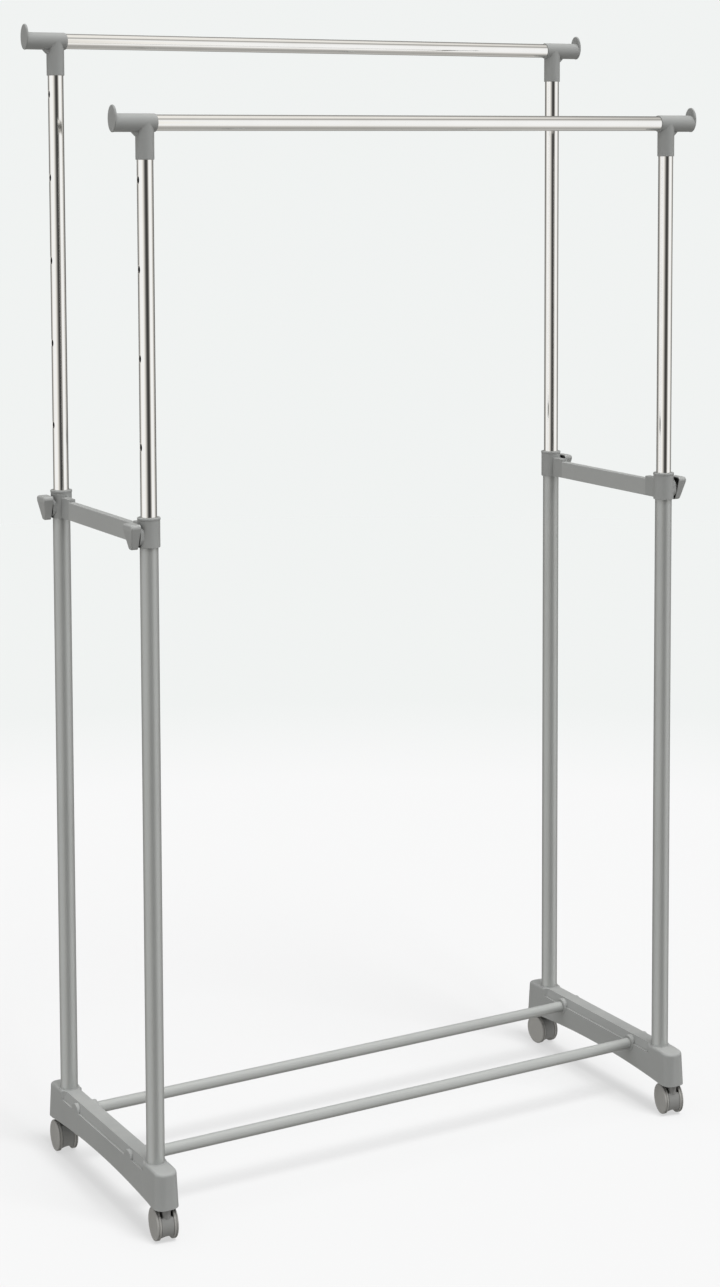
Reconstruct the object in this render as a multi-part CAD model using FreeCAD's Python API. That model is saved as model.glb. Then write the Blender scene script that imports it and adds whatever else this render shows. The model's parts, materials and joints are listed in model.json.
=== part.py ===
"""Double garment rail on casters: two telescoping hanging tiers over a shoe-rack base.

Frame: millimetres, +Z up, +X along the hanging rails, -Y towards the front tier.
The origin is on the floor, under the middle of the rail.
"""
import FreeCAD, Part
import math
import os

V = FreeCAD.Vector
X_AXIS = V(1, 0, 0)
Z_AXIS = V(0, 0, 1)

# Where the four posts stand
POST_X = 425.0              # half the spacing of the left and right posts
POST_Y = 150.4              # half the spacing of the front and back posts
SIDES = {"l": -1, "r": 1}
TIERS = {"f": -1, "b": 1}
TIER_NAMES = {"f": "front", "b": "back"}
SIDE_NAMES = {"l": "left", "r": "right"}

# Heights above the floor
BASE_TOP = 100.4
SEAT_TOP = 101.0            # raised ring round each post
POST_FOOT = 62.0
POST_HEAD = 982.0
COLLAR_BOTTOM = 945.5
COLLAR_TOP = 985.5
KNOB_Z = 961.5
LEG_BOTTOM = 1578.0         # lower end of the connector on a fully raised tier

# Tubes
POST_OD = 25.0
POST_WALL = 1.2
UPPER_OD = 22.0
UPPER_WALL = 1.0
RAIL_OD = 21.5
RAIL_WALL = 0.9
SHOE_OD = 16.5
SHOE_WALL = 0.9
FIT_GAP = 0.05              # radial clearance of a running fit

# Telescoping tiers
NOTCH_PITCH = 118.0
NOTCHES = 6
NOTCH_DIAMETER = 7.0
TIER_NOTCHES_DOWN = {"f": 1, "b": 0}
TUBE_BELOW_NOTCH = 62.0
BUSH_WALL = 1.6
BUSH_LIP = 5.0
BUSH_PLUG = 16.0

# Base beams
BASE_HALF_LENGTH = 194.6
NOSE_START = 162.0          # where the top of the beam starts to fall towards its ends
NOSE_DROP = 4.5
BASE_BOTTOM = 49.0
BASE_HALF_BOTTOM = 17.8
BASE_HALF_TOP = 16.0
BASE_END_DRAFT = 2.5
BASE_CORNER = 13.0
BASE_EDGE = 4.0
BASE_WALL = 2.6
ARCH_HALF = 166.0           # half span of the arch under the beam
ARCH_SPRING = 50.2
ARCH_CROWN = 58.4
FOOT_HALF_START = 172.0     # where the arch has run down to the foot of the beam
RECESS_HALF_TOP = 10.2
RECESS_HALF_LEDGE = 13.8
RECESS_Z = 88.0
RECESS_HALF_LENGTH = 150.0
RECESS_CORNER = 24.0        # the recess runs out to the beam's side in a long curve
RECESS_SHOULDER = 1.0       # how far that curve starts inside the recess's upper edge
SHOE_Y = 92.0
SHOE_Z = 86.0
SHOE_BOSS_R = 12.5
SHOE_BOSS_INNER = 17.8
SHOE_BOSS_OUTER = 16.4
SHOE_BOSS_EDGE = 1.5
SHOE_SOCKET_FLOOR = -9.0    # bottom of the shoe rail's socket, from the post axis
SEAT_R = 14.6
SEAT_FLARE = 0.8
SEAT_DEPTH = 2.0

# Connectors between the upper tubes and the hanging rails
TEE_BODY_R = 12.2
TEE_LEG_R = 12.5
TEE_OUT = 47.5              # hook plate's outer face, from the post axis
TEE_IN = 15.0
TEE_WALL = 3.0
TEE_EDGE = 1.2
TEE_FOOT_EDGE = 0.8
TEE_HOLLOW = 25.0
PLATE = 3.0
PLATE_HALF = 12.6
PLATE_TIP = 23.6            # hook plate's tip above the rail axis
DISH_R = 30.0
DISH_DEPTH = 1.0
DISH_BELOW_TIP = 9.6
RAIL_Z = LEG_BOTTOM + 48.5
TUBE_HEAD = RAIL_Z - 14.0
RAIL_HALF = POST_X + 13.0
GUSSET = 5.4
GUSSET_HALF = 5.0
GUSSET_ROOT = 4.0           # how far the gusset reaches into the connector
BOLT_HOLE_R = 3.5

# Collars and the braces between them
COLLAR_R = 15.1
COLLAR_EDGE = 0.5
COLLAR_RIM_R = 15.6
COLLAR_RIM = 2.5
RIM_SLOPE = 1.5
RIM_EDGE = 0.6
BOSS_FACE = 16.8            # clamp boss's outer face, from the post axis
BOSS_HALF_WIDTH = 10.0
BOSS_HALF_HEIGHT = 13.0
BOSS_CORNER = 9.5
BOSS_EDGE = 0.8
BRACE_HALF_X = 5.2
BRACE_BOTTOM = 946.3
BRACE_TOP = 972.0
BRACE_START = COLLAR_R + 1.0    # end of the brace's tenon, from the post axis
BRACE_EDGE = 1.0
STUB_END = 39.0             # end of the brace socket, from the post axis
STUB_TOP = 976.2
STUB_WALL = 1.6             # round the socket that takes the brace's tenon

# Clamps
BOLT_R = 3.0
BOLT_TIP = 11.3             # bolt's inner end, from the post axis
BOLT_END = 28.0
BOLT_HEAD_R = 5.0
BOLT_HEAD = 4.0
INSERT_R = 4.5
INSERT_START = 13.5
WASHER_R = 7.0
WASHER_GAP = 0.15
KNOB_IN = 18.3
KNOB_OUT = 32.3
KNOB_HALF_TOP = 17.0
KNOB_HALF_BOTTOM = 4.5
KNOB_ABOVE = 16.7
KNOB_BELOW = 18.0
KNOB_FOOT_THICKNESS = 9.5
KNOB_SLOPE_START = 8.0      # where the outer face starts to slope, below the knob's top
KNOB_CORNER = 4.5
KNOB_EDGE = 2.8
KNOB_WALL = 2.0
KNOB_HUB_R = 7.0

# Casters
STEM_Y = 183.0
TRAIL = 13.0
SWIVEL_DEGREES = {"fl": -7.5, "bl": 175.0, "fr": -13.0, "br": 181.8}
WHEEL_R = 22.5
WHEEL_INNER = 8.9           # wheel's inner and outer faces, from the caster's middle
WHEEL_OUTER = 15.3
WHEEL_EDGE = 0.6
WHEEL_HUB_R = 5.0
WHEEL_WEB = 2.6
WHEEL_RIM = 4.0
GROOVE_DEPTH = 0.9
GROOVE_START = 2.6
GROOVE_WIDTH = 1.6
TREAD_ROUND = 1.56          # how far the rounding of the tread's outer edge reaches
TREAD_ROUND_MIDDLE = 0.66
RIM_STEP = 0.18             # how far the rim's outer face lies below the disc
WEB_STEP = 0.48
DISC_R = 8.0
DISC_SKIN = 0.7             # what covers the axle's end
HOOD_HALF = 8.6
HOOD_R = 22.0
HOOD_EDGE = 0.8
HOOD_FLOOR = 8.5
HOOD_ROOF = 40.0
HOOD_ARCH_R = 14.0
HOOD_ARCH_Z = -3.0
POCKET_INNER = 5.2
POCKET_FLOOR = 35.5
POCKET_LENGTH = 18.0
POCKET_CORNER = 3.0
AXLE_R = 2.0
AXLE_HALF = 14.3
NECK_R = 6.0
NECK_FOOT = 22.0
NECK_GAP = 0.4              # between the neck and the base
FLANGE_R = 7.6
FLANGE = 1.6
STEM_R = 4.0
STEM_FOOT = 30.0
STEM_TOP = 76.0
STEM_DOME = 1.5
SOCKET_R = 5.5
SOCKET_HEAD_ROOM = 2.0

# Cutting tools and edge picking
PAST = 5.0                  # how far a cutting tool runs past the face it opens
LONG = 60.0                 # a cutting tool that runs right through
BITE = 1.0                  # how far two cuts that meet run into each other
NEAR = 0.1                  # an edge this close to a plane lies on it


def ring(radius, bore, start, length, axis=Z_AXIS):
    """A straight tube from start along axis."""
    body = Part.makeCylinder(radius, length, start, axis)
    hole = Part.makeCylinder(bore, length, start, axis)
    return body.cut(hole)


def turned(profile):
    """A solid of revolution about Z from (radius, height) corners."""
    points = [V(r, 0, z) for r, z in profile]
    face = Part.Face(Part.makePolygon(points + points[:1]))
    return face.revolve(V(0, 0, 0), Z_AXIS, 360)


def edges_where(shape, test):
    """The edges whose middle point passes a test."""
    return [edge for edge in shape.Edges if test(edge.CenterOfMass)]


def placed(shape, position, degrees=0.0):
    """A copy turned about Z and then moved."""
    copy = shape.copy()
    copy.rotate(V(0, 0, 0), Z_AXIS, degrees)
    copy.translate(position)
    return copy


def mirrored_out(shape, side):
    """A copy whose +X faces outwards on the given side."""
    return shape.copy() if side > 0 else shape.mirror(V(0, 0, 0), X_AXIS)


def save(shape, name):
    """Writes one node and reports a shape that is not sound."""
    if not shape.isValid():
        print("NOT VALID", name)
    shape.exportStep("parts/" + name + ".step")


# ---------------------------------------------------------------- base beams

def rounded_plan(half_x, half_y, corner, z):
    """A closed rectangle with round corners at height z."""
    edges = []
    for quarter, (sx, sy) in enumerate(((1, 1), (-1, 1), (-1, -1), (1, -1))):
        centre = V(sx * (half_x - corner), sy * (half_y - corner), z)
        turns = [math.radians(90 * quarter + step) for step in (0, 45, 90)]
        arc = [centre + V(corner * math.cos(a), corner * math.sin(a), 0) for a in turns]
        if edges:
            edges.append(Part.LineSegment(edges[-1].valueAt(edges[-1].LastParameter), arc[0]).toShape())
        edges.append(Part.Arc(*arc).toShape())
    first = edges[0].valueAt(edges[0].FirstParameter)
    last = edges[-1].valueAt(edges[-1].LastParameter)
    edges.append(Part.LineSegment(last, first).toShape())
    return Part.Wire(edges)


def beam_block(inset, bottom, top):
    """The drafted block of the beam, inset by a wall thickness."""
    lower = rounded_plan(BASE_HALF_BOTTOM - inset, BASE_HALF_LENGTH - inset, BASE_CORNER - inset, bottom)
    upper = rounded_plan(BASE_HALF_TOP - inset, BASE_HALF_LENGTH - BASE_END_DRAFT - inset,
                         BASE_CORNER - inset, top)
    return Part.makeLoft([lower, upper], True, True)


def beam_envelope():
    """The room the beam may fill: level on top between the posts, falling towards both ends."""
    reach = BASE_HALF_BOTTOM + PAST
    end = BASE_HALF_LENGTH + PAST
    low = BASE_BOTTOM - PAST
    middle = (NOSE_START + end) / 2
    falls = []
    for side in (1, -1):
        points = [V(-reach, side * NOSE_START, BASE_TOP), V(-reach, side * middle, BASE_TOP - NOSE_DROP / 4),
                  V(-reach, side * end, BASE_TOP - NOSE_DROP)]
        falls.append(Part.Arc(*points[::side]).toShape())
    level = Part.makeLine(V(-reach, -NOSE_START, BASE_TOP), V(-reach, NOSE_START, BASE_TOP))
    sides = Part.makePolygon([V(-reach, end, BASE_TOP - NOSE_DROP), V(-reach, end, low),
                              V(-reach, -end, low), V(-reach, -end, BASE_TOP - NOSE_DROP)])
    outline = Part.Wire([falls[1], level, falls[0]] + sides.Edges)
    return Part.Face(outline).extrude(V(2 * reach, 0, 0))


def arch_cutter():
    """The space under the beam: an arch between two feet."""
    below = BASE_BOTTOM - PAST
    reach = BASE_HALF_BOTTOM + PAST
    crown = Part.Arc(V(-reach, -ARCH_HALF, ARCH_SPRING), V(-reach, 0, ARCH_CROWN),
                     V(-reach, ARCH_HALF, ARCH_SPRING)).toShape()
    corners = [V(-reach, ARCH_HALF, ARCH_SPRING), V(-reach, FOOT_HALF_START, BASE_BOTTOM),
               V(-reach, FOOT_HALF_START, below), V(-reach, -FOOT_HALF_START, below),
               V(-reach, -FOOT_HALF_START, BASE_BOTTOM), V(-reach, -ARCH_HALF, ARCH_SPRING)]
    outline = Part.Wire([crown] + Part.makePolygon(corners).Edges)
    return Part.Face(outline).extrude(V(2 * reach, 0, 0))


def recess_cutter(extra):
    """The long recess along one upper side of the beam, grown by a wall thickness."""
    outer = BASE_HALF_BOTTOM + PAST
    top = BASE_TOP + PAST
    slope = (RECESS_HALF_LEDGE - RECESS_HALF_TOP) / (BASE_TOP - RECESS_Z)
    floor = RECESS_Z - extra
    section = [(RECESS_HALF_LEDGE + slope * extra - extra, floor), (outer, floor), (outer, top),
               (RECESS_HALF_TOP - slope * (top - BASE_TOP) - extra, top)]
    half = RECESS_HALF_LENGTH + extra
    points = [V(x, -half, z) for x, z in section]
    bar = Part.Face(Part.makePolygon(points + points[:1])).extrude(V(0, 2 * half, 0))
    start = RECESS_HALF_TOP - extra - RECESS_SHOULDER
    block = Part.makeBox(LONG, 2 * half, top - floor, V(start, -half, floor))
    inner = edges_where(block, lambda p: p.x < start + NEAR and abs(p.z - (top + floor) / 2) < NEAR)
    return bar.common(block.makeFillet(RECESS_CORNER, inner))


def beam_skin():
    """The outside of the beam before its sockets are cut."""
    block = beam_block(0, BASE_BOTTOM, BASE_TOP).common(beam_envelope())
    rim = edges_where(block, lambda p: p.z > BASE_TOP - NOSE_DROP and (abs(p.x) > NEAR or abs(p.y) > STEM_Y))
    block = block.makeFillet(BASE_EDGE, rim)
    recess = recess_cutter(0)
    block = block.cut(recess).cut(recess.mirror(V(0, 0, 0), X_AXIS))
    for tier in TIERS.values():
        boss = Part.makeCylinder(SHOE_BOSS_R, SHOE_BOSS_OUTER + SHOE_BOSS_INNER,
                                 V(-SHOE_BOSS_OUTER, tier * SHOE_Y, SHOE_Z), X_AXIS)
        rims = edges_where(boss, lambda p: p.x < NEAR - SHOE_BOSS_OUTER or p.x > SHOE_BOSS_INNER - NEAR)
        block = block.fuse(boss.makeFillet(SHOE_BOSS_EDGE, rims))
        seat = Part.makeCone(SEAT_R + SEAT_FLARE, SEAT_R, SEAT_DEPTH,
                             V(0, tier * POST_Y, SEAT_TOP - SEAT_DEPTH), Z_AXIS)
        block = block.fuse(seat)
    return block.cut(arch_cutter())


def beam_cavity():
    """The hollow inside the beam, open below, round the sockets that stay solid."""
    hollow = beam_block(BASE_WALL, BASE_BOTTOM - BITE, BASE_TOP - BASE_WALL)
    recess = recess_cutter(BASE_WALL)
    hollow = hollow.cut(recess).cut(recess.mirror(V(0, 0, 0), X_AXIS))
    for tier in TIERS.values():
        boss = Part.makeCylinder(SHOE_BOSS_R, LONG, V(-LONG / 2, tier * SHOE_Y, SHOE_Z), X_AXIS)
        post = Part.makeCylinder(POST_OD / 2 + BASE_WALL, LONG, V(0, tier * POST_Y, POST_FOOT - PAST), Z_AXIS)
        stem = Part.makeCylinder(SOCKET_R + BASE_WALL, LONG, V(0, tier * STEM_Y, BASE_BOTTOM - PAST), Z_AXIS)
        hollow = hollow.cut(boss).cut(post).cut(stem)
    return hollow


def base_beam():
    """A beam whose shoe-rail sockets open towards +X."""
    beam = beam_skin().cut(beam_cavity())
    for tier in TIERS.values():
        post = Part.makeCylinder(POST_OD / 2, LONG, V(0, tier * POST_Y, POST_FOOT), Z_AXIS)
        rail = Part.makeCylinder(SHOE_OD / 2, LONG, V(SHOE_SOCKET_FLOOR, tier * SHOE_Y, SHOE_Z), X_AXIS)
        stem = Part.makeCylinder(SOCKET_R, STEM_TOP + SOCKET_HEAD_ROOM - BASE_BOTTOM + PAST,
                                 V(0, tier * STEM_Y, BASE_BOTTOM - PAST), Z_AXIS)
        beam = beam.cut(post).cut(rail).cut(stem)
    return beam.removeSplitter()


# ---------------------------------------------------------------- tubes

def lower_post():
    """A lower tube with the hole that its clamp bolt passes through, facing +X."""
    tube = ring(POST_OD / 2, POST_OD / 2 - POST_WALL, V(0, 0, POST_FOOT), POST_HEAD - POST_FOOT)
    return tube.cut(Part.makeCylinder(BOLT_HOLE_R, POST_OD, V(0, 0, KNOB_Z), X_AXIS))


def upper_tube():
    """A chromed inner tube at its full height, with notch holes facing +X."""
    foot = KNOB_Z - TUBE_BELOW_NOTCH
    tube = ring(UPPER_OD / 2, UPPER_OD / 2 - UPPER_WALL, V(0, 0, foot), TUBE_HEAD - foot)
    for notch in range(NOTCHES):
        height = KNOB_Z + notch * NOTCH_PITCH
        tube = tube.cut(Part.makeCylinder(NOTCH_DIAMETER / 2, UPPER_OD, V(0, 0, height), X_AXIS))
    return tube


def glide_bush():
    """The plug that guides the foot of an inner tube inside its post."""
    foot = KNOB_Z - TUBE_BELOW_NOTCH
    guide = POST_OD / 2 - POST_WALL - FIT_GAP
    inside = UPPER_OD / 2 - UPPER_WALL
    bore = inside - BUSH_WALL
    return turned([(bore, foot - BUSH_LIP), (guide, foot - BUSH_LIP), (guide, foot), (inside, foot),
                   (inside, foot + BUSH_PLUG), (bore, foot + BUSH_PLUG)])


def straight_rail(radius, wall, half, height):
    """A tube along X, centred on the middle of the object."""
    return ring(radius, radius - wall, V(-half, 0, height), 2 * half, X_AXIS)


# ---------------------------------------------------------------- connectors

def hook_plate():
    """The upright oval tongue on the outer end of a connector, its inner face dished."""
    long_half = (PLATE_TIP + PLATE_HALF) / 2
    centre = (PLATE_TIP - PLATE_HALF) / 2
    oval = Part.Ellipse(V(0, 0, 0), long_half, PLATE_HALF).toShape()
    plate = Part.Face(Part.Wire([oval])).extrude(V(0, 0, PLATE))
    plate = plate.makeFillet(TEE_EDGE, plate.Edges)
    plate.rotate(V(0, 0, 0), V(0, 1, 0), -90)
    plate.translate(V(TEE_OUT, 0, RAIL_Z + centre))
    dish = Part.makeSphere(DISH_R, V(TEE_OUT - PLATE + DISH_DEPTH - DISH_R, 0,
                                     RAIL_Z + PLATE_TIP - DISH_BELOW_TIP))
    return plate.cut(dish)


def tee():
    """A connector whose hook end points along +X, on a fully raised tier."""
    body = Part.makeCylinder(TEE_BODY_R, TEE_IN + TEE_OUT - PLATE / 2, V(-TEE_IN, 0, RAIL_Z), X_AXIS)
    mouth = edges_where(body, lambda p: p.x < NEAR - TEE_IN)
    body = body.makeFillet(TEE_EDGE, mouth)
    leg = Part.makeCylinder(TEE_LEG_R, RAIL_Z - LEG_BOTTOM, V(0, 0, LEG_BOTTOM), Z_AXIS)
    foot = edges_where(leg, lambda p: p.z < LEG_BOTTOM + NEAR)
    leg = leg.makeFillet(TEE_FOOT_EDGE, foot)
    corner = RAIL_Z - TEE_BODY_R
    web = [(TEE_LEG_R - GUSSET_ROOT, corner + GUSSET_ROOT), (TEE_LEG_R + GUSSET, corner + GUSSET_ROOT),
           (TEE_LEG_R + GUSSET, corner), (TEE_LEG_R, corner - GUSSET),
           (TEE_LEG_R - GUSSET_ROOT, corner - GUSSET)]
    points = [V(x, -GUSSET_HALF, z) for x, z in web]
    gusset = Part.Face(Part.makePolygon(points + points[:1])).extrude(V(0, 2 * GUSSET_HALF, 0))
    shape = body.fuse([leg, gusset, hook_plate()])
    rail = Part.makeCylinder(RAIL_OD / 2, RAIL_HALF - POST_X + TEE_IN, V(-TEE_IN, 0, RAIL_Z), X_AXIS)
    tube = Part.makeCylinder(UPPER_OD / 2, TUBE_HEAD - LEG_BOTTOM, V(0, 0, LEG_BOTTOM), Z_AXIS)
    core = Part.makeCylinder(TEE_BODY_R - TEE_WALL, TEE_HOLLOW,
                             V(RAIL_HALF - POST_X + TEE_WALL, 0, RAIL_Z), X_AXIS)
    return shape.cut(rail).cut(tube).cut(core).removeSplitter()


# ---------------------------------------------------------------- collars and clamps

def clamp_boss():
    """The oval pad that holds the threaded insert, pointing along +X."""
    height = 2 * BOSS_HALF_HEIGHT
    block = Part.makeBox(BOSS_FACE, 2 * BOSS_HALF_WIDTH, height,
                         V(0, -BOSS_HALF_WIDTH, KNOB_Z - BOSS_HALF_HEIGHT))
    corners = edges_where(block, lambda p: abs(abs(p.y) - BOSS_HALF_WIDTH) < NEAR
                          and abs(abs(p.z - KNOB_Z) - BOSS_HALF_HEIGHT) < NEAR)
    block = block.makeFillet(BOSS_CORNER, corners)
    face = edges_where(block, lambda p: p.x > BOSS_FACE - NEAR)
    return block.makeFillet(BOSS_EDGE, face)


def brace_bar(start, end, inset, top):
    """A length of the brace's section along Y, inset from its sides, with its long edges rounded."""
    half = BRACE_HALF_X - inset
    foot = BRACE_BOTTOM + inset
    bar = Part.makeBox(2 * half, end - start, top - inset - foot, V(-half, start, foot))
    middle = (start + end) / 2
    long_edges = edges_where(bar, lambda p: abs(abs(p.x) - half) < NEAR and abs(p.y - middle) < NEAR)
    return bar.makeFillet(BRACE_EDGE, long_edges)


def collar():
    """A post-top collar: clamp boss towards +X, brace socket towards +Y."""
    rim_start = COLLAR_TOP - COLLAR_RIM
    shell = turned([(0, COLLAR_BOTTOM), (COLLAR_R - COLLAR_EDGE, COLLAR_BOTTOM),
                    (COLLAR_R, COLLAR_BOTTOM + COLLAR_EDGE), (COLLAR_R, rim_start - RIM_SLOPE),
                    (COLLAR_RIM_R, rim_start), (COLLAR_RIM_R, COLLAR_TOP - RIM_EDGE),
                    (COLLAR_RIM_R - RIM_EDGE, COLLAR_TOP), (0, COLLAR_TOP)])
    stub = brace_bar(0, STUB_END, 0, STUB_TOP)
    shape = shell.fuse([stub, clamp_boss()])
    post = Part.makeCylinder(POST_OD / 2, POST_HEAD - COLLAR_BOTTOM, V(0, 0, COLLAR_BOTTOM), Z_AXIS)
    throat = Part.makeCylinder(UPPER_OD / 2 + FIT_GAP, 2 * PAST, V(0, 0, POST_HEAD - BITE), Z_AXIS)
    socket = brace_bar(BRACE_START, STUB_END + PAST, STUB_WALL, BRACE_TOP)
    bolt = Part.makeCylinder(BOLT_HOLE_R, BOSS_FACE, V(0, 0, KNOB_Z), X_AXIS)
    insert = Part.makeCylinder(INSERT_R, BOSS_FACE, V(INSERT_START, 0, KNOB_Z), X_AXIS)
    return shape.cut(post).cut(throat).cut(socket).cut(bolt).cut(insert).removeSplitter()


def brace():
    """The bar between the front and back collars, with a tenon at each end."""
    inner = POST_Y - STUB_END
    outer = POST_Y - BRACE_START
    tenons = brace_bar(-outer, outer, STUB_WALL, BRACE_TOP)
    return brace_bar(-inner, inner, 0, BRACE_TOP).fuse(tenons).removeSplitter()


def clamp_insert():
    """The threaded insert in a clamp boss."""
    return ring(INSERT_R, BOLT_R + FIT_GAP, V(INSERT_START, 0, KNOB_Z), BOSS_FACE - INSERT_START, X_AXIS)


def clamp_washer():
    """The thrust washer between the boss and the knob."""
    return ring(WASHER_R, BOLT_R + FIT_GAP, V(BOSS_FACE + WASHER_GAP, 0, KNOB_Z),
                KNOB_IN - BOSS_FACE - 2 * WASHER_GAP, X_AXIS)


def clamp_bolt():
    """The bolt moulded into a knob, its tip just short of the inner tube."""
    shank = Part.makeCylinder(BOLT_R, BOLT_END - BOLT_TIP, V(BOLT_TIP, 0, KNOB_Z), X_AXIS)
    head = Part.makeCylinder(BOLT_HEAD_R, BOLT_HEAD, V(BOLT_END - BOLT_HEAD, 0, KNOB_Z), X_AXIS)
    return shank.fuse(head).removeSplitter()


def knob_block(inset, outer):
    """The wing's wedge, inset from its sides, its outer face at a distance from the post axis."""
    top = KNOB_Z + KNOB_ABOVE - inset
    bottom = KNOB_Z - KNOB_BELOW + inset
    foot = KNOB_IN + KNOB_FOOT_THICKNESS - (KNOB_OUT - outer)
    outline = [V(KNOB_IN, -KNOB_HALF_TOP + inset, top), V(KNOB_IN, KNOB_HALF_TOP - inset, top),
               V(KNOB_IN, KNOB_HALF_BOTTOM - inset / 2, bottom),
               V(KNOB_IN, inset / 2 - KNOB_HALF_BOTTOM, bottom)]
    block = Part.Face(Part.makePolygon(outline + outline[:1])).extrude(V(outer - KNOB_IN, 0, 0))
    corners = edges_where(block, lambda p: abs(p.x - (KNOB_IN + outer) / 2) < NEAR)
    block = block.makeFillet(KNOB_CORNER - inset, corners)
    slope = [(outer, top - KNOB_SLOPE_START), (outer + PAST, top - KNOB_SLOPE_START),
             (outer + PAST, bottom - BITE), (foot, bottom - BITE)]
    points = [V(x, -LONG / 2, z) for x, z in slope]
    return block.cut(Part.Face(Part.makePolygon(points + points[:1])).extrude(V(0, LONG, 0)))


def clamp_knob():
    """The wing knob: a shell open towards the post, with a hub moulded round its bolt."""
    block = knob_block(0, KNOB_OUT)
    outer = edges_where(block, lambda p: p.x > KNOB_IN + KNOB_FOOT_THICKNESS - NEAR)
    block = block.makeFillet(KNOB_EDGE, outer)
    hub = Part.makeCylinder(KNOB_HUB_R, KNOB_OUT - KNOB_IN, V(KNOB_IN, 0, KNOB_Z), X_AXIS)
    hollow = knob_block(KNOB_WALL, KNOB_OUT - KNOB_WALL).cut(hub)
    return block.cut(hollow).cut(clamp_bolt())


# ---------------------------------------------------------------- casters

def caster_wheel():
    """One wheel of a twin caster, its outer disc facing +X, its axle along X."""
    bore = AXLE_R + FIT_GAP
    inside = WHEEL_R - WHEEL_RIM
    groove = WHEEL_INNER + GROOVE_START
    bevel = GROOVE_WIDTH / 3
    profile = [(bore, WHEEL_INNER + WHEEL_EDGE), (WHEEL_HUB_R, WHEEL_INNER + WHEEL_EDGE),
               (WHEEL_HUB_R, WHEEL_OUTER - WHEEL_WEB), (inside, WHEEL_OUTER - WHEEL_WEB),
               (inside, WHEEL_INNER), (WHEEL_R - WHEEL_EDGE, WHEEL_INNER),
               (WHEEL_R, WHEEL_INNER + WHEEL_EDGE),
               (WHEEL_R, groove), (WHEEL_R - GROOVE_DEPTH, groove + bevel),
               (WHEEL_R - GROOVE_DEPTH, groove + 2 * bevel), (WHEEL_R, groove + GROOVE_WIDTH),
               (WHEEL_R, WHEEL_OUTER - TREAD_ROUND),
               (WHEEL_R - WHEEL_EDGE, WHEEL_OUTER - TREAD_ROUND_MIDDLE),
               (WHEEL_R - TREAD_ROUND, WHEEL_OUTER - RIM_STEP),
               (inside + WHEEL_EDGE, WHEEL_OUTER - RIM_STEP),
               (inside, WHEEL_OUTER - WEB_STEP),
               (DISC_R, WHEEL_OUTER), (0, WHEEL_OUTER), (0, WHEEL_OUTER - DISC_SKIN),
               (bore, WHEEL_OUTER - DISC_SKIN)]
    wheel = turned(profile)
    wheel.rotate(V(0, 0, 0), V(0, 1, 0), 90)
    wheel.translate(V(0, TRAIL, WHEEL_R))
    return wheel


def caster_axle():
    """The steel pin through the housing and both wheels."""
    return Part.makeCylinder(AXLE_R, 2 * AXLE_HALF, V(-AXLE_HALF, TRAIL, WHEEL_R), X_AXIS)


def hood_pocket():
    """The hollow in the hood's top beside the neck, on the +X side."""
    half = POCKET_LENGTH / 2
    pocket = Part.makeBox(LONG, POCKET_LENGTH, LONG, V(0, -half - POCKET_CORNER, POCKET_FLOOR))
    root = edges_where(pocket, lambda p: p.x < NEAR and p.z < POCKET_FLOOR + NEAR)
    pocket = pocket.makeFillet(POCKET_CORNER, root)
    pocket.translate(V(POCKET_INNER, 0, 0))
    return pocket


def caster_housing():
    """The hooded body of a caster: neck on the swivel axis, wheels trailing along +Y."""
    hood = Part.makeCylinder(HOOD_R, 2 * HOOD_HALF, V(-HOOD_HALF, TRAIL, WHEEL_R), X_AXIS)
    rims = edges_where(hood, lambda p: abs(abs(p.x) - HOOD_HALF) < NEAR)
    hood = hood.makeFillet(HOOD_EDGE, rims)
    reach = HOOD_R + PAST
    corner = V(-LONG / 2, TRAIL - reach, 0)
    floor = Part.makeBox(LONG, 2 * reach, HOOD_FLOOR, corner)
    roof = Part.makeBox(LONG, 2 * reach, LONG, corner + V(0, 0, HOOD_ROOF))
    arch = Part.makeCylinder(HOOD_ARCH_R, 2 * reach, V(0, TRAIL - reach, HOOD_ARCH_Z), V(0, 1, 0))
    hood = hood.cut(floor).cut(arch).cut(roof)
    for side in SIDES.values():
        hood = hood.cut(mirrored_out(hood_pocket(), side))
    neck = Part.makeCylinder(NECK_R, BASE_BOTTOM - NECK_GAP - NECK_FOOT, V(0, 0, NECK_FOOT), Z_AXIS)
    flange = Part.makeCylinder(FLANGE_R, FLANGE, V(0, 0, BASE_BOTTOM - NECK_GAP - FLANGE), Z_AXIS)
    body = hood.fuse([neck, flange])
    axle = Part.makeCylinder(AXLE_R, LONG, V(-LONG / 2, TRAIL, WHEEL_R), X_AXIS)
    stem = Part.makeCylinder(STEM_R, LONG, V(0, 0, STEM_FOOT), Z_AXIS)
    return body.cut(axle).cut(stem).removeSplitter()


def caster_stem():
    """The steel pintle pressed into the housing, with a domed top."""
    stem = Part.makeCylinder(STEM_R, STEM_TOP - STEM_FOOT, V(0, 0, STEM_FOOT), Z_AXIS)
    top = edges_where(stem, lambda p: p.z > STEM_TOP - NEAR)
    return stem.makeFillet(STEM_DOME, top)


def stem_socket():
    """The sleeve in the base that a caster stem turns in."""
    height = STEM_TOP + SOCKET_HEAD_ROOM - BASE_BOTTOM
    return ring(SOCKET_R, STEM_R + FIT_GAP, V(0, 0, BASE_BOTTOM), height)


# ---------------------------------------------------------------- assembly

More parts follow.
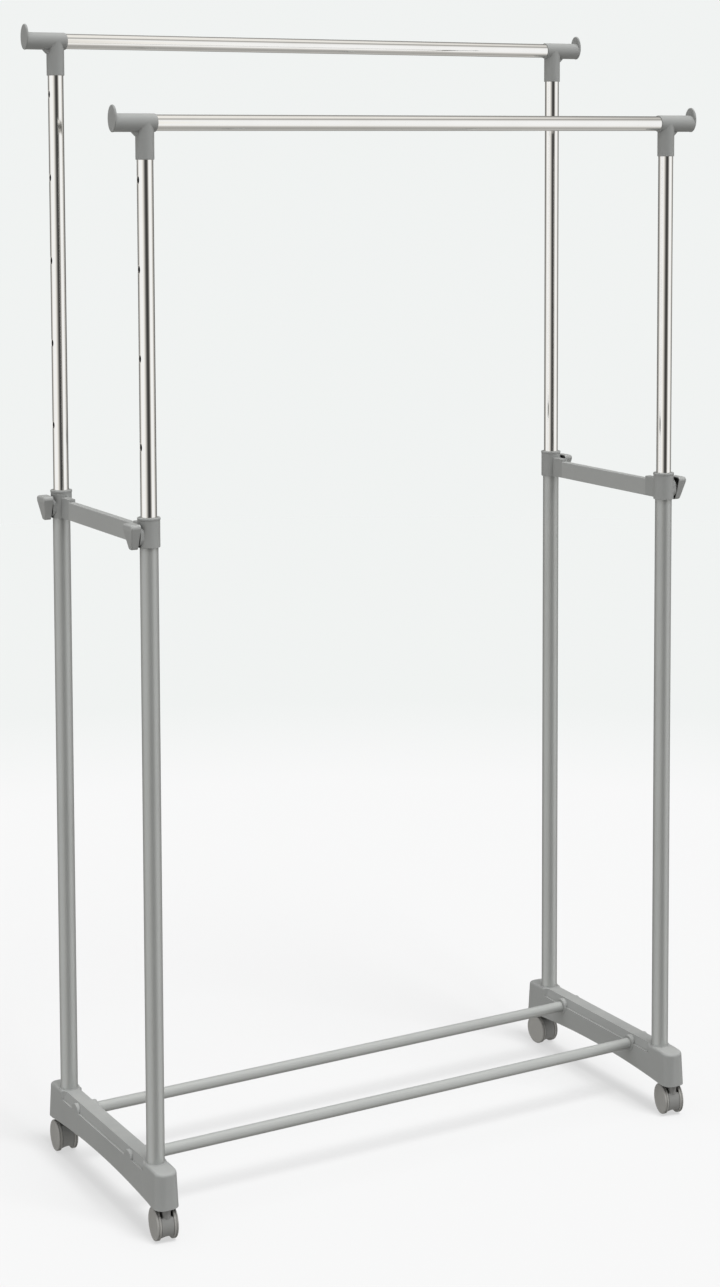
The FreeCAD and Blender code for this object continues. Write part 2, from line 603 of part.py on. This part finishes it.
def write_frame():
    """The base, the lower posts, the shoe rails, the collars and the braces."""
    beam = base_beam()
    post = lower_post()
    collar_shape = collar()
    bar = brace()
    inserts = []
    sockets = []
    for side_key, side in SIDES.items():
        where = V(side * POST_X, 0, 0)
        save(placed(mirrored_out(beam, -side), where), "base_" + SIDE_NAMES[side_key])
        save(placed(bar, where), "brace_" + SIDE_NAMES[side_key])
        for tier_key, tier in TIERS.items():
            corner = V(side * POST_X, tier * POST_Y, 0)
            turned_collar = collar_shape if tier < 0 else collar_shape.mirror(V(0, 0, 0), V(0, 1, 0))
            save(placed(mirrored_out(post, side), corner), "lower_post_" + tier_key + side_key)
            save(placed(mirrored_out(turned_collar, side), corner), "collar_" + tier_key + side_key)
            inserts.append(placed(mirrored_out(clamp_insert(), side), corner))
            sockets.append(placed(stem_socket(), V(side * POST_X, tier * STEM_Y, 0)))
    save(Part.makeCompound(inserts), "clamp_inserts")
    save(Part.makeCompound(sockets), "stem_sockets")
    half = POST_X - SHOE_SOCKET_FLOOR
    for tier_key, tier in TIERS.items():
        rail = straight_rail(SHOE_OD / 2, SHOE_WALL, half, SHOE_Z)
        save(placed(rail, V(0, tier * SHOE_Y, 0)), "shoe_rail_" + TIER_NAMES[tier_key])


def write_tiers():
    """The two hanging tiers, each lowered by its own number of notches."""
    tube = upper_tube()
    connector = tee()
    for tier_key, tier in TIERS.items():
        drop = -TIER_NOTCHES_DOWN[tier_key] * NOTCH_PITCH
        bushes = []
        for side_key, side in SIDES.items():
            corner = V(side * POST_X, tier * POST_Y, drop)
            save(placed(mirrored_out(tube, side), corner), "upper_tube_" + tier_key + side_key)
            save(placed(mirrored_out(connector, side), corner), "tee_" + tier_key + side_key)
            bushes.append(placed(glide_bush(), corner))
        save(Part.makeCompound(bushes), "glide_bushes_" + TIER_NAMES[tier_key])
        rail = straight_rail(RAIL_OD / 2, RAIL_WALL, RAIL_HALF, RAIL_Z)
        save(placed(rail, V(0, tier * POST_Y, drop)), "hanging_rail_" + TIER_NAMES[tier_key])


def write_clamps():
    """The knob, bolt and washer on each collar."""
    pieces = {"clamp_knob_": clamp_knob(), "clamp_bolt_": clamp_bolt(), "clamp_washer_": clamp_washer()}
    for tier_key, tier in TIERS.items():
        for side_key, side in SIDES.items():
            corner = V(side * POST_X, tier * POST_Y, 0)
            for name, piece in pieces.items():
                save(placed(mirrored_out(piece, side), corner), name + tier_key + side_key)


def write_casters():
    """A twin-wheel caster under each end of the base beams."""
    wheel = caster_wheel()
    pieces = {"caster_housing_": caster_housing(), "caster_stem_": caster_stem(),
              "caster_axle_": caster_axle()}
    for tier_key, tier in TIERS.items():
        for side_key, side in SIDES.items():
            corner = tier_key + side_key
            where = V(side * POST_X, tier * STEM_Y, 0)
            turn = SWIVEL_DEGREES[corner]
            for name, piece in pieces.items():
                save(placed(piece, where, turn), name + corner)
            save(placed(wheel, where, turn), "caster_wheel_" + corner + "_a")
            save(placed(mirrored_out(wheel, -1), where, turn), "caster_wheel_" + corner + "_b")


os.makedirs("parts", exist_ok=True)
write_frame()
write_tiers()
write_clamps()
write_casters()
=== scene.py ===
"""The looks of a double garment rail: finishes, fine tubes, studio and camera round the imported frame."""
import bmesh
import bpy
import json
import math
from mathutils import Matrix, Vector

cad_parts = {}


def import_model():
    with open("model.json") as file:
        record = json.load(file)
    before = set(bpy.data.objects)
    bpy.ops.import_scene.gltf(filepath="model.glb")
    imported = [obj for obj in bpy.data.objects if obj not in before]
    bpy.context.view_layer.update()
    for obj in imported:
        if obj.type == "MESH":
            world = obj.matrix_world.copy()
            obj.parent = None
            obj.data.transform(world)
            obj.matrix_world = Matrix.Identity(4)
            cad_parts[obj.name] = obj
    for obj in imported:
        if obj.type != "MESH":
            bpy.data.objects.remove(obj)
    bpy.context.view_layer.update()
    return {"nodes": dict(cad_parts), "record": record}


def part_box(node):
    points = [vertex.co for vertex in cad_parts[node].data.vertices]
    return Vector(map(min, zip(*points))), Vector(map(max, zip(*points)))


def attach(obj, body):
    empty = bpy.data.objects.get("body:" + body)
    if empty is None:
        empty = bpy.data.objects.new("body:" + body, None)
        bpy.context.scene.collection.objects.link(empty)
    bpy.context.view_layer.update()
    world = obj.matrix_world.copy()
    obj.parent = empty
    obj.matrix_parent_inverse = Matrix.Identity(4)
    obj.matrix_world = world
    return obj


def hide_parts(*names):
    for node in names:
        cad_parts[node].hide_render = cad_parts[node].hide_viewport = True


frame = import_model()
NODES = frame["nodes"]
BODY_OF = {node: body for body, nodes in frame["record"]["behaviour"]["bodies"].items() for node in nodes}
SLOT_OF = {row["node"]: row["material_slot"] for row in frame["record"]["subparts"]}
CORNERS = ("fl", "fr", "bl", "br")
Z_AXIS = Vector((0, 0, 1))


# ---------------------------------------------------------------- shader nodes

def shade(colour, level):
    """A colour made lighter or darker."""
    return tuple(part * level for part in colour)


def stained(colour, stain):
    """A colour with each of its parts made darker by its own amount."""
    return tuple(part * level for part, level in zip(colour, stain))


class Nodes:
    """A small builder for a node tree."""

    def __init__(self, tree):
        self.tree = tree

    def node(self, kind, inputs=(), **settings):
        """A node with its settings, and with its inputs set to numbers or linked to sockets."""
        made = self.tree.nodes.new("ShaderNode" + kind)
        for key, value in settings.items():
            setattr(made, key, value)
        for key, value in dict(inputs).items():
            self.feed(made.inputs[key], value)
        return made

    def feed(self, socket, value):
        """Sets a socket, or links it."""
        if isinstance(value, bpy.types.NodeSocket):
            self.tree.links.new(value, socket)
        elif isinstance(value, tuple) and len(value) == 3 and socket.type == "RGBA":
            socket.default_value = (*value, 1)
        else:
            socket.default_value = value

    def ramp(self, value, low, high, to_low=0.0, to_high=1.0, kind="LINEAR"):
        """A value taken from one range to another, held at its ends."""
        return self.node("MapRange", {0: value, 1: low, 2: high, 3: to_low, 4: to_high},
                         interpolation_type=kind).outputs[0]

    def gradient(self, value, table, tint=(1, 1, 1)):
        """A smooth run of greys, or of one tint, through (place, level) stops."""
        made = self.node("ValToRGB", {0: value})
        made.color_ramp.interpolation = "B_SPLINE"
        stops = made.color_ramp.elements
        while len(stops) < len(table):
            stops.new(0.5)
        for stop, (place, level) in zip(stops, table):
            stop.position = place
            stop.color = (*shade(tint, level), 1)
        return made.outputs[0]

    def mix(self, factor, first, second):
        """A mix of two colours."""
        return self.node("Mix", {0: factor, 6: first, 7: second}, data_type="RGBA").outputs[2]

    def maths(self, operation, first, second=0.0):
        """One arithmetic step."""
        return self.node("Math", {0: first, 1: second}, operation=operation).outputs[0]

    def dot(self, first, second):
        """The dot product of two directions."""
        return self.node("VectorMath", {0: first, 1: second}, operation="DOT_PRODUCT").outputs["Value"]

    def product(self, first, second):
        """Two colours multiplied part by part, or a colour and a value."""
        return self.node("VectorMath", {0: first, 1: second}, operation="MULTIPLY").outputs[0]


class Shader(Nodes):
    """The nodes of one material, round its surface shader."""

    def __init__(self, name):
        self.material = bpy.data.materials.new(name)
        self.material.use_nodes = True
        super().__init__(self.material.node_tree)
        self.surface = self.tree.nodes["Principled BSDF"]
        self.coordinates = self.node("TexCoord").outputs["Object"]

    def noise(self, scale, detail=3.0, roughness=0.5, stretch=None):
        """Noise over the object, as a value round 0.5."""
        at = self.coordinates
        if stretch:
            at = self.node("Mapping", {"Vector": at, "Scale": stretch}).outputs[0]
        made = self.node("TexNoise", {"Vector": at, "Scale": scale, "Detail": detail, "Roughness": roughness})
        return made.outputs[0]

    def edges(self, radius):
        """How near a point is to a convex or concave edge, from 0 to 1."""
        soft = self.node("Bevel", {"Radius": radius}, samples=4).outputs[0]
        hard = self.node("NewGeometry").outputs["Normal"]
        return self.ramp(self.maths("SUBTRACT", 1.0, self.dot(soft, hard)), *EDGE_TURN)

    def crevice(self, reach):
        """How open a point is to its surroundings, from 0 deep in a gap to 1."""
        return self.node("AmbientOcclusion", {"Distance": reach}, samples=8).outputs["AO"]

    def bump(self, height, distance, strength, under=None):
        """A bump whose depth is in metres, on top of another one if there is one."""
        made = self.node("Bump", {"Height": height, "Distance": distance, "Strength": strength})
        if under is not None:
            self.feed(made.inputs["Normal"], under)
        return made.outputs[0]

    def finish(self, **values):
        """Feeds the surface shader by input name, with underscores for spaces."""
        for key, value in values.items():
            self.feed(self.surface.inputs[key.replace("_", " ")], value)
        return self.material


# ---------------------------------------------------------------- finishes

# A SCALE is a noise's, in cycles a metre. A SPAN is the part of a value's range that a ramp spreads out.
# A DEPTH is in metres. A TINT is how far a colour strays either way, and a STAIN multiplies its three parts.
# STEPS are the least and most that is added to a roughness.
NOISE_SPAN = (0.3, 0.7)     # where most of a noise's values lie
EDGE_TURN = (0.02, 0.3)     # how far the surface turns within an edge's radius
EDGE_RADIUS = 0.0012
BUMP = 0.5                  # strength of a bump of ordinary depth

FLOW_SCALE = 9.0
FLOW_TINT = 0.04
SCUFF_SCALE = 160.0
SCUFF_SPAN = (0.42, 0.62)
SCUFF = 0.36                # how far a scuffed edge turns lighter
SCUFF_LIGHTER = 1.5
SCUFF_POLISH = -0.08        # roughness that a scuff takes away
DUST = 0.2                  # how strongly dust lies on faces that look up
DUST_COLOUR = (0.62, 0.61, 0.58)
DUST_SCALE = 35.0
DUST_SPAN = (0.35, 0.8)
LOOKS_UP = (0.6, 1.0)       # how far up a face looks, from where dust begins to lie on it
CREVICE = 0.014             # how far round a point a gap is looked for, in metres
CREVICE_SPAN = (0.1, 0.7)
PATCH_SCALE = 60.0          # patches of more and less gloss
PATCH = 0.05                # roughness that they add or take away
GRAIN_SCALE = 1400.0
SINK_SCALE = 45.0           # slight unevenness of a moulded wall
SINK_DEPTH = 0.00006


def moulded(name, colour, grain, roughness, gap_shade_depth=0.75):
    """Moulded plastic: fine grain, slight flow marks, scuffed edges, dust on top, and painted shade that
    darkens its gaps.
    """
    s = Shader(name)
    flow = s.ramp(s.noise(FLOW_SCALE, 4.0), *NOISE_SPAN)
    body = s.mix(flow, shade(colour, 1 - FLOW_TINT), shade(colour, 1 + FLOW_TINT))
    scuff = s.maths("MULTIPLY", s.edges(EDGE_RADIUS), s.ramp(s.noise(SCUFF_SCALE, 4.0, 0.6), *SCUFF_SPAN))
    worn = s.mix(s.maths("MULTIPLY", scuff, SCUFF), body, shade(colour, SCUFF_LIGHTER))
    up = s.node("SeparateXYZ", {0: s.node("NewGeometry").outputs["Normal"]}).outputs[2]
    film = s.maths("MULTIPLY", s.ramp(up, *LOOKS_UP), s.ramp(s.noise(DUST_SCALE, 5.0, 0.65), *DUST_SPAN))
    dusty = s.mix(s.maths("MULTIPLY", film, DUST), worn, DUST_COLOUR)
    # Painted shade: the colour turns darker where the surroundings close in, deep in gaps and creases.
    painted_gap_shade = s.ramp(s.crevice(CREVICE), *CREVICE_SPAN, 1.0 - gap_shade_depth, 1.0)
    patches = s.ramp(s.noise(PATCH_SCALE), *NOISE_SPAN, roughness - PATCH, roughness + PATCH)
    rough = s.maths("ADD", patches, s.maths("MULTIPLY", scuff, SCUFF_POLISH))
    sunk = s.bump(s.noise(SINK_SCALE, 2.0), SINK_DEPTH, BUMP)
    normal = s.bump(s.ramp(s.noise(GRAIN_SCALE, 2.0), *NOISE_SPAN), grain, BUMP, sunk)
    return s.finish(Base_Color=s.product(dusty, painted_gap_shade), Roughness=rough, Normal=normal)


CLOUD_SCALE = 6.0
CLOUD_TINT = 0.03
FLECK_SCALE = 2600.0        # single flakes in the paint
FLECK_SPAN = (0.4, 0.6)
FLECK_TINT = 0.015
HANDLING_SCALE = 22.0
HANDLING_SPAN = (0.62, 0.75)
HANDLING_STRETCH = (1, 1, 0.15)
HANDLING = 0.06             # roughness that handling adds
GLOSS_SCALE = 80.0
GLOSS_STEPS = (-0.02, 0.03)
PEEL_SCALE = 420.0          # orange peel
PEEL_DEPTH = 0.00001


def powder_coat(name, colour, metallic, roughness):
    """Satin paint on steel: orange peel, fine flakes, faint clouds and upright handling marks."""
    s = Shader(name)
    cloud = s.ramp(s.noise(CLOUD_SCALE), *NOISE_SPAN)
    body = s.mix(cloud, shade(colour, 1 - CLOUD_TINT), shade(colour, 1 + CLOUD_TINT))
    fleck = s.ramp(s.noise(FLECK_SCALE, 1.0), *FLECK_SPAN, 1 - FLECK_TINT, 1 + FLECK_TINT)
    rub = s.ramp(s.noise(HANDLING_SCALE, 6.0, 0.7, HANDLING_STRETCH), *HANDLING_SPAN)
    gloss = s.ramp(s.noise(GLOSS_SCALE), *NOISE_SPAN, *(roughness + step for step in GLOSS_STEPS))
    rough = s.maths("ADD", gloss, s.maths("MULTIPLY", rub, HANDLING))
    normal = s.bump(s.noise(PEEL_SCALE, 2.0), PEEL_DEPTH, BUMP)
    return s.finish(Base_Color=s.product(body, fleck), Roughness=rough, Metallic=metallic, Normal=normal)


SMEAR_SCALE = 14.0
SMEAR_SPAN = (0.4, 0.75)
SMEAR_STAIN = (0.94, 0.94, 0.93)
SMEAR = 0.5                 # how much of a smear shows
RUB_SCALE = 24.0
RUB_SPAN = (0.58, 0.75)
RUB_STRETCH = (1, 1, 0.3)
WAVE_SCALE = 70.0           # the plate's slight waves
WAVE_DEPTH = 0.000003
WAVE = 0.12                 # strength of their bump


def plated(name, colour, roughness, marks):
    """Bright plate: near-mirror steel with slight waves, smears and rub marks."""
    s = Shader(name)
    smear = s.ramp(s.noise(SMEAR_SCALE, 5.0, 0.6), *SMEAR_SPAN)
    body = s.mix(s.maths("MULTIPLY", smear, SMEAR), colour, stained(colour, SMEAR_STAIN))
    rub = s.ramp(s.noise(RUB_SCALE, 4.0, 0.6, RUB_STRETCH), *RUB_SPAN)
    dull = s.ramp(smear, 0.0, 1.0, roughness, roughness + marks * SMEAR)
    rough = s.maths("ADD", dull, s.maths("MULTIPLY", rub, marks))
    normal = s.bump(s.noise(WAVE_SCALE, 1.0), WAVE_DEPTH, WAVE)
    return s.finish(Base_Color=body, Roughness=rough, Metallic=1.0, Normal=normal)


SPOT_SCALE = 220.0
SPOT_SPAN = (0.35, 0.7)
SPOT_STAIN = (0.8, 0.8, 0.78)
TOOL_SCALE = 500.0          # patches that the tool left smoother or rougher
TOOL_STEPS = (-0.05, 0.08)
PIT_SCALE = 900.0
PIT_DEPTH = 0.00002


def turned_metal(name, colour, roughness):
    """Plain metal, turned, rolled or drawn, with slight spots and pits."""
    s = Shader(name)
    body = s.mix(s.ramp(s.noise(SPOT_SCALE, 4.0), *SPOT_SPAN), colour, stained(colour, SPOT_STAIN))
    rough = s.ramp(s.noise(TOOL_SCALE), *NOISE_SPAN, *(roughness + step for step in TOOL_STEPS))
    normal = s.bump(s.noise(PIT_SCALE, 2.0), PIT_DEPTH, BUMP)
    return s.finish(Base_Color=body, Roughness=rough, Metallic=1.0, Normal=normal)


GREY = moulded("grey_moulding", (0.392, 0.403, 0.397), 0.00004, 0.48)
KNOB = moulded("knob_moulding", (0.44, 0.451, 0.444), 0.00003, 0.42)
BRACE = powder_coat("brace_paint", (0.47, 0.482, 0.474), 0.0, 0.45)
PAINT = powder_coat("silver_grey_paint", (0.51, 0.526, 0.516), 0.36, 0.38)
RAIL_PAINT = powder_coat("shoe_rail_paint", (0.51, 0.526, 0.515), 0.2, 0.34)
CHROME = plated("bright_chrome", (0.9, 0.895, 0.88), 0.05, 0.03)
HUB = moulded("caster_moulding", (0.42, 0.417, 0.4), 0.00003, 0.4, gap_shade_depth=0.5)
# The hood: the caster plastic made darker, painted shade where the base shadows it.
SHADED_HOOD = moulded("caster_hood_painted_shade", (0.32, 0.323, 0.316), 0.00003, 0.45, gap_shade_depth=0.3)
ZINC = turned_metal("zinc_plate", (0.55, 0.55, 0.54), 0.3)
BRASS = turned_metal("insert_brass", (0.62, 0.47, 0.22), 0.32)
# The inside of the tubes: near black, painted shade where the bore is out of the light.
SHADED_BORE = turned_metal("tube_bore_painted_shade", (0.05, 0.048, 0.045), 0.6)
NYLON = moulded("dark_nylon", (0.03, 0.03, 0.03), 0.00003, 0.4)

FINISH_OF_SLOT = {"grey_plastic": GREY, "painted_steel": PAINT, "chrome_steel": CHROME, "caster_plastic": HUB,
                  "zinc_steel": ZINC, "insert_brass": BRASS, "dark_nylon": NYLON}
FINISH_OF_NODE = {"clamp_knob": KNOB, "brace": BRACE, "caster_housing": SHADED_HOOD}


def carry_over():
    """Gives each CAD node that stays the finish of its slot, or one of its own."""
    for name, node in NODES.items():
        finish = FINISH_OF_SLOT[SLOT_OF[name]]
        for stem, own in FINISH_OF_NODE.items():
            if name.startswith(stem):
                finish = own
        node.data.materials.clear()
        node.data.materials.append(finish)


# ---------------------------------------------------------------- mesh helpers

def add_piece(name, mesh, finish, node):
    """A piece that stands for a CAD node, on that node's body, with the given finish."""
    for polygon in mesh.polygons:
        polygon.use_smooth = True
    piece = bpy.data.objects.new(name, mesh)
    bpy.context.scene.collection.objects.link(piece)
    mesh.materials.append(finish)
    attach(piece, BODY_OF[node])
    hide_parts(node)
    return piece


SHARP_FROM = math.radians(32)
TUBE_SEGMENTS = 96
LIP = 0.0003                # how far a tube's edges are broken


def mark_sharp(bm):
    """Keeps edges crisp where two faces meet at a large angle."""
    for edge in bm.edges:
        edge.smooth = len(edge.link_faces) == 2 and edge.calc_face_angle(0.0) < SHARP_FROM


def lathe(profile):
    """A closed solid of revolution about Z from a closed loop of (radius, height)."""
    bm = bmesh.new()
    rings = []
    for step in range(TUBE_SEGMENTS):
        turn = 2 * math.pi * step / TUBE_SEGMENTS
        rings.append([bm.verts.new((r * math.cos(turn), r * math.sin(turn), z)) for r, z in profile])
    count = len(profile)
    for here, there in zip(rings, rings[1:] + rings[:1]):
        for i in range(count):
            j = (i + 1) % count
            bm.faces.new((here[i], there[i], there[j], here[j]))
    bmesh.ops.recalc_face_normals(bm, faces=bm.faces)
    return bm


def tube_profile(radius, wall, low, high):
    """A tube's section with slightly broken edges."""
    inner = radius - wall
    return [(inner, low + LIP), (inner + LIP, low), (radius - LIP, low), (radius, low + LIP),
            (radius, high - LIP), (radius - LIP, high), (inner + LIP, high), (inner, high - LIP)]


def to_mesh(bm, name, place=None):
    """A mesh from bmesh, moved into place."""
    mark_sharp(bm)
    if place is not None:
        bmesh.ops.transform(bm, matrix=place, verts=bm.verts)
    mesh = bpy.data.meshes.new(name)
    bm.to_mesh(mesh)
    bm.free()
    return mesh


# ---------------------------------------------------------------- tubes

POST_WALL = 0.0012
UPPER_WALL = 0.001
RAIL_WALL = 0.0009
NOTCHES = 6
NOTCH_PITCH = 0.118
NOTCH_R = 0.0035
NOTCH_SEGMENTS = 48
NOTCH_STRETCH = 1.45        # a notch is this much taller than wide
DIMPLE_R = 0.0042           # the dimple round a notch, at the outside of the tube
NOTCH_ABOVE_FOOT = 0.062
BORE_MARGIN = 0.1           # how far into the wall a face still counts as the bore's, of its thickness


def upright(node, wall, finish):
    """A vertical tube in the place of its node."""
    low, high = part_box(node)
    centre = (low + high) / 2
    radius = (high.x - low.x) / 2
    bm = lathe(tube_profile(radius, wall, low.z, high.z))
    mesh = to_mesh(bm, node + "_tube", Matrix.Translation((centre.x, centre.y, 0)))
    return add_piece(node + "_tube", mesh, finish, node)


def crossbar(node, wall, finish):
    """A tube along X in the place of its node."""
    low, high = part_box(node)
    centre = (low + high) / 2
    radius = (high.z - low.z) / 2
    bm = lathe(tube_profile(radius, wall, low.x, high.x))
    lie = Matrix.Translation((0, centre.y, centre.z)) @ Matrix.Rotation(math.pi / 2, 4, "Y")
    return add_piece(node + "_tube", to_mesh(bm, node + "_tube", lie), finish, node)


def notch_cutter(centre, foot, side, stations):
    """The plugs that open a tube's side at each notch, through (distance from the tube's axis, radius)."""
    bm = bmesh.new()
    turns = [2 * math.pi * step / NOTCH_SEGMENTS for step in range(NOTCH_SEGMENTS)]
    for notch in range(NOTCHES):
        height = foot + NOTCH_ABOVE_FOOT + notch * NOTCH_PITCH
        rings = []
        for reach, radius in stations:
            tall = NOTCH_STRETCH * radius
            x = centre.x + side * reach
            oval = [(radius * math.cos(turn), tall * math.sin(turn)) for turn in turns]
            rings.append([bm.verts.new((x, centre.y + across, height + along)) for across, along in oval])
        bm.faces.new(rings[0])
        bm.faces.new(rings[-1])
        for near, far in zip(rings, rings[1:]):
            for i in range(NOTCH_SEGMENTS):
                bm.faces.new((near[i - 1], near[i], far[i], far[i - 1]))
    bmesh.ops.recalc_face_normals(bm, faces=bm.faces)
    mesh = bpy.data.meshes.new("notch_cutter")
    bm.to_mesh(mesh)
    bm.free()
    made = bpy.data.objects.new("notch_cutter", mesh)
    bpy.context.scene.collection.objects.link(made)
    return made


def notched(piece, node):
    """Cuts the notches through an upper tube's outer wall, each in a shallow dimple, and gives the bore a
    near-black finish as painted shade.
    """
    low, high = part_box(node)
    centre = (low + high) / 2
    side = 1 if centre.x > 0 else -1
    radius = (high.x - low.x) / 2
    inner = radius - UPPER_WALL
    beyond = radius + UPPER_WALL
    stations = ((radius / 2, NOTCH_R), (inner, NOTCH_R), (beyond, 2 * DIMPLE_R - NOTCH_R))
    tool = notch_cutter(centre, low.z, side, stations)
    cut = piece.modifiers.new("notches", "BOOLEAN")
    cut.object = tool
    cut.solver = "EXACT"
    bpy.context.view_layer.update()
    whole = piece.evaluated_get(bpy.context.evaluated_depsgraph_get())
    mesh = bpy.data.meshes.new_from_object(whole)
    piece.modifiers.clear()
    piece.data = mesh
    bpy.data.objects.remove(tool)
    bm = bmesh.new()
    bm.from_mesh(mesh)
    mark_sharp(bm)
    for face in bm.faces:
        reach = max((vert.co.xy - centre.xy).length for vert in face.verts)
        # Faces of the bore take the near-black finish, painted shade inside the tube.
        face.material_index = 1 if reach < inner + BORE_MARGIN * UPPER_WALL else 0
    bm.to_mesh(mesh)
    bm.free()
    mesh.materials.append(SHADED_BORE)


def tubes():
    """Every round tube of the rail."""
    for corner in CORNERS:
        upright("lower_post_" + corner, POST_WALL, PAINT)
        node = "upper_tube_" + corner
        notched(upright(node, UPPER_WALL, CHROME), node)
    for tier in ("front", "back"):
        crossbar("hanging_rail_" + tier, RAIL_WALL, CHROME)
        crossbar("shoe_rail_" + tier, RAIL_WALL, RAIL_PAINT)


# ---------------------------------------------------------------- studio

CAMERA_AT = (-1.7462, -3.0376, 1.4773)
CAMERA_YAW = math.radians(29.684)
CAMERA_PITCH = math.radians(4.656)
CAMERA_ROLL = math.radians(-0.1993)
CAMERA_LENS = 67.08
CAMERA_SENSOR = 36
CAMERA_SHIFT = -0.235


def camera():
    """The camera at its viewing angle."""
    ahead = Vector((math.sin(CAMERA_YAW) * math.cos(CAMERA_PITCH),
                    math.cos(CAMERA_YAW) * math.cos(CAMERA_PITCH),
                    -math.sin(CAMERA_PITCH)))
    level = Vector((math.cos(CAMERA_YAW), -math.sin(CAMERA_YAW), 0))
    above = level.cross(ahead)
    right = level * math.cos(CAMERA_ROLL) + above * math.sin(CAMERA_ROLL)
    up = above * math.cos(CAMERA_ROLL) - level * math.sin(CAMERA_ROLL)
    data = bpy.data.cameras.new("camera")
    data.lens = CAMERA_LENS
    data.sensor_width = CAMERA_SENSOR
    data.shift_y = CAMERA_SHIFT
    made = bpy.data.objects.new("camera", data)
    bpy.context.scene.collection.objects.link(made)
    basis = Matrix((right, up, -ahead)).transposed().to_4x4()
    made.matrix_world = Matrix.Translation(CAMERA_AT) @ basis
    bpy.context.scene.camera = made


# Studio walls: brightness by angle round the object, from straight behind, through its left, front and right
WALLS = ((0.0, 0.14), (0.11, 0.12), (0.2, 0.4), (0.25, 1.1), (0.3, 1.35), (0.36, 1.2), (0.4, 0.95),
         (0.44, 0.72), (0.475, 0.3), (0.51, 0.06), (0.555, 0.04), (0.595, 0.08), (0.63, 0.45), (0.66, 1.2),
         (0.73, 1.45), (0.79, 0.6), (0.86, 0.2), (0.93, 0.12), (1.0, 0.12))
# How bright the walls look in gloss, from straight below, through the horizon, to straight above
HEIGHTS = ((0.0, 0.36), (0.1, 0.42), (0.16, 0.7), (0.22, 1.0), (0.72, 1.0), (0.79, 0.8), (0.835, 0.45),
           (0.87, 0.34), (0.895, 0.5), (0.915, 0.9), (1.0, 1.0))
WARMTH = (1.0, 0.975, 0.93)
WALLS_AS_LIGHT = 0.7        # how strongly the walls light matt surfaces
CEILING = 1.6               # as light on matt surfaces
CEILING_SPAN = (0.75, 0.85)  # sine of the height at which the walls turn into the ceiling
POLE_SPAN = (0.45, 0.75)    # as a sine, where the walls in gloss fade into one tone above and below
BACKDROP = (0.877, 0.896, 0.887)


def world():
    """Soft studio walls and ceiling for light and gloss, and a plain pale backdrop."""
    made = bpy.data.worlds.new("studio")
    bpy.context.scene.world = made
    made.use_nodes = True
    made.node_tree.nodes.clear()
    w = Nodes(made.node_tree)
    toward = Vector((CAMERA_AT[0], CAMERA_AT[1], 0)).normalized()
    direction = w.node("TexCoord").outputs["Generated"]
    angle = w.maths("ARCTAN2", w.dot(direction, Z_AXIS.cross(toward)), w.dot(direction, toward))
    height = w.dot(direction, Z_AXIS)
    walls = w.gradient(w.ramp(angle, -math.pi, math.pi), WALLS, WARMTH)

    dim = w.node("VectorMath", {0: walls, "Scale": WALLS_AS_LIGHT}, operation="SCALE").outputs[0]
    light = w.mix(w.ramp(height, *CEILING_SPAN, kind="SMOOTHSTEP"), dim, (CEILING, CEILING, CEILING))

    layers = w.gradient(w.ramp(height, -1, 1), HEIGHTS)
    pole = w.ramp(w.maths("ABSOLUTE", height), *POLE_SPAN)
    gloss = w.product(w.mix(pole, walls, WARMTH), layers)

    ray = w.node("LightPath").outputs
    studio = w.mix(ray["Is Glossy Ray"], light, gloss)
    seen = w.mix(ray["Is Camera Ray"], studio, BACKDROP)
    w.node("OutputWorld", {0: w.node("Background", {0: seen}).outputs[0]})


FLOOR_R = 6.0
FLOOR_NEAR = (0.1266, 0.1271, 0.1276)
FLOOR_FAR = (0.1025, 0.1098, 0.1064)
FLOOR_GLOW = 0.61           # light that the floor gives off, which softens its shadows
FLOOR_ROUGH = 0.9
FLOOR_SEGMENTS = 128
FADE_FROM = 2.0
FADE_TO = 2.8


def floor():
    """A plain pale floor that fades into the backdrop."""
    bm = bmesh.new()
    bmesh.ops.create_circle(bm, cap_ends=True, segments=FLOOR_SEGMENTS, radius=FLOOR_R)
    mesh = to_mesh(bm, "floor")
    made = bpy.data.objects.new("floor", mesh)
    bpy.context.scene.collection.objects.link(made)
    s = Shader("floor")
    distance = s.node("VectorMath", {0: s.coordinates}, operation="LENGTH").outputs["Value"]
    pale = s.mix(s.ramp(distance, FADE_FROM, FADE_TO), FLOOR_NEAR, FLOOR_FAR)
    s.finish(Base_Color=pale, Roughness=FLOOR_ROUGH, Specular_IOR_Level=0.0, Emission_Color=(1, 1, 1),
             Emission_Strength=FLOOR_GLOW)
    mesh.materials.append(s.material)
    made.visible_glossy = False
    made.visible_diffuse = False
    return made


SUN_FROM = Vector((0.1, -0.48, 0.87))
OVERHEAD = 1.35
OVERHEAD_WIDTH = 34         # in degrees, as seen from the object
FLOOR_SHADE = 5.2
FLOOR_SHADE_WIDTH = 24


def sun(name, strength, degrees):
    """A soft sun from overhead, which shows in no gloss."""
    light = bpy.data.lights.new(name, "SUN")
    light.energy = strength
    light.angle = math.radians(degrees)
    made = bpy.data.objects.new(name, light)
    bpy.context.scene.collection.objects.link(made)
    made.rotation_mode = "QUATERNION"
    made.rotation_quaternion = SUN_FROM.to_track_quat("Z", "Y")
    made.visible_glossy = False
    return made


def lamps(ground):
    """A broad sun over everything, and a narrower one for the floor alone, which deepens its shadows."""
    sun("overhead", OVERHEAD, OVERHEAD_WIDTH)
    narrow = sun("floor_shade", FLOOR_SHADE, FLOOR_SHADE_WIDTH)
    lit = bpy.data.collections.new("floor_only")
    lit.objects.link(ground)
    narrow.light_linking.receiver_collection = lit


carry_over()
tubes()
camera()
world()
lamps(floor())
bpy.context.scene.view_settings.view_transform = "Standard"
